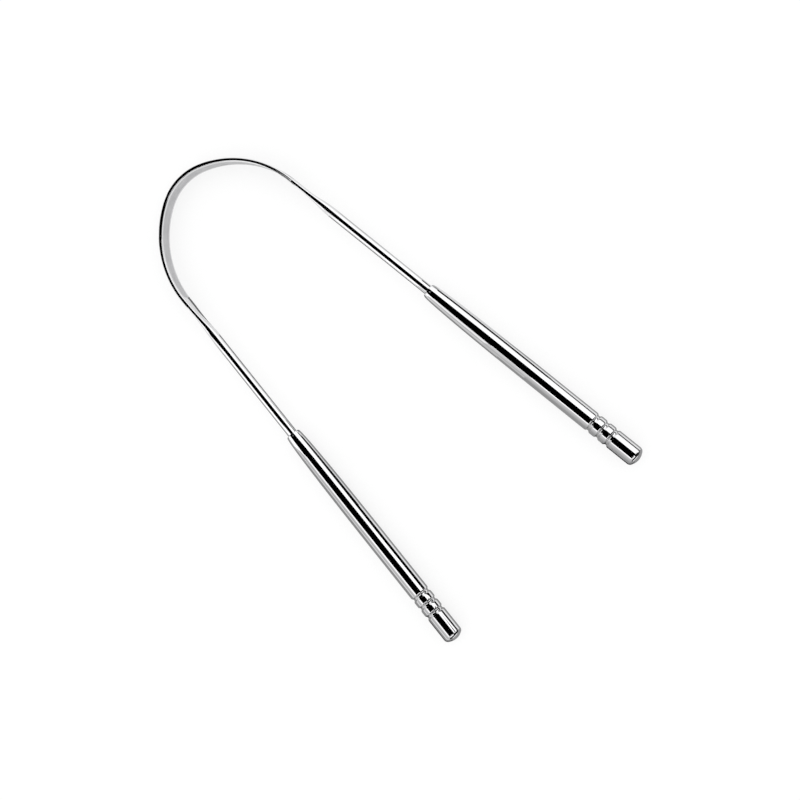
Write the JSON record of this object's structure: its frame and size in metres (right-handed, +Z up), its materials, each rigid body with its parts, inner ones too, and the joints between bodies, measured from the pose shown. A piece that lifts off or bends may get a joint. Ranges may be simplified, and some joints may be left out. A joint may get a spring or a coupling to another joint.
{
  "type": "tongue scraper",
  "caption": "U-shaped steel tongue scraper: a thin springy blade on edge, bent round the crown, with straight arms in slim ringed tube handles.",
  "frame": {"origin": "under the middle of the scraper's footprint, on the surface that it lies on", "axes": "+Y along its length towards the bend, +X towards the right arm, +Z up, square to the plane of the U"},
  "size_m": [0.0796, 0.155, 0.0062],
  "materials": {
    "blade_steel": "stainless, satin faces with polished edges",
    "rod_steel": "stainless, mirror polished",
    "handle_steel": "stainless, mirror polished",
    "plug_steel": "stainless, mirror polished"
  },
  "bodies": {
    "blade": {"scraper_blade": "blade_steel"},
    "left_arm": {"left_shank": "rod_steel", "left_handle_tube": "handle_steel", "left_end_plug": "plug_steel"},
    "right_arm": {"right_shank": "rod_steel", "right_handle_tube": "handle_steel", "right_end_plug": "plug_steel"}
  },
  "joints": [
    {"name": "left_flex", "type": "hinge", "parent": "blade", "child": "left_arm", "pos_m": [-0.01508, 0.067, 0.0031], "axis": [0, 0, 1], "range_deg": [-8, 12], "stiffness_Nm_per_rad": 4.5, "deforming": ["scraper_blade"]},
    {"name": "right_flex", "type": "hinge", "parent": "blade", "child": "right_arm", "pos_m": [0.01508, 0.067, 0.0031], "axis": [0, 0, -1], "range_deg": [-8, 12], "stiffness_Nm_per_rad": 4.5, "deforming": ["scraper_blade"]}
  ],
  "couplings": [
    {"joint": "right_flex", "follows": "left_flex", "ratio": 1}
  ]
}
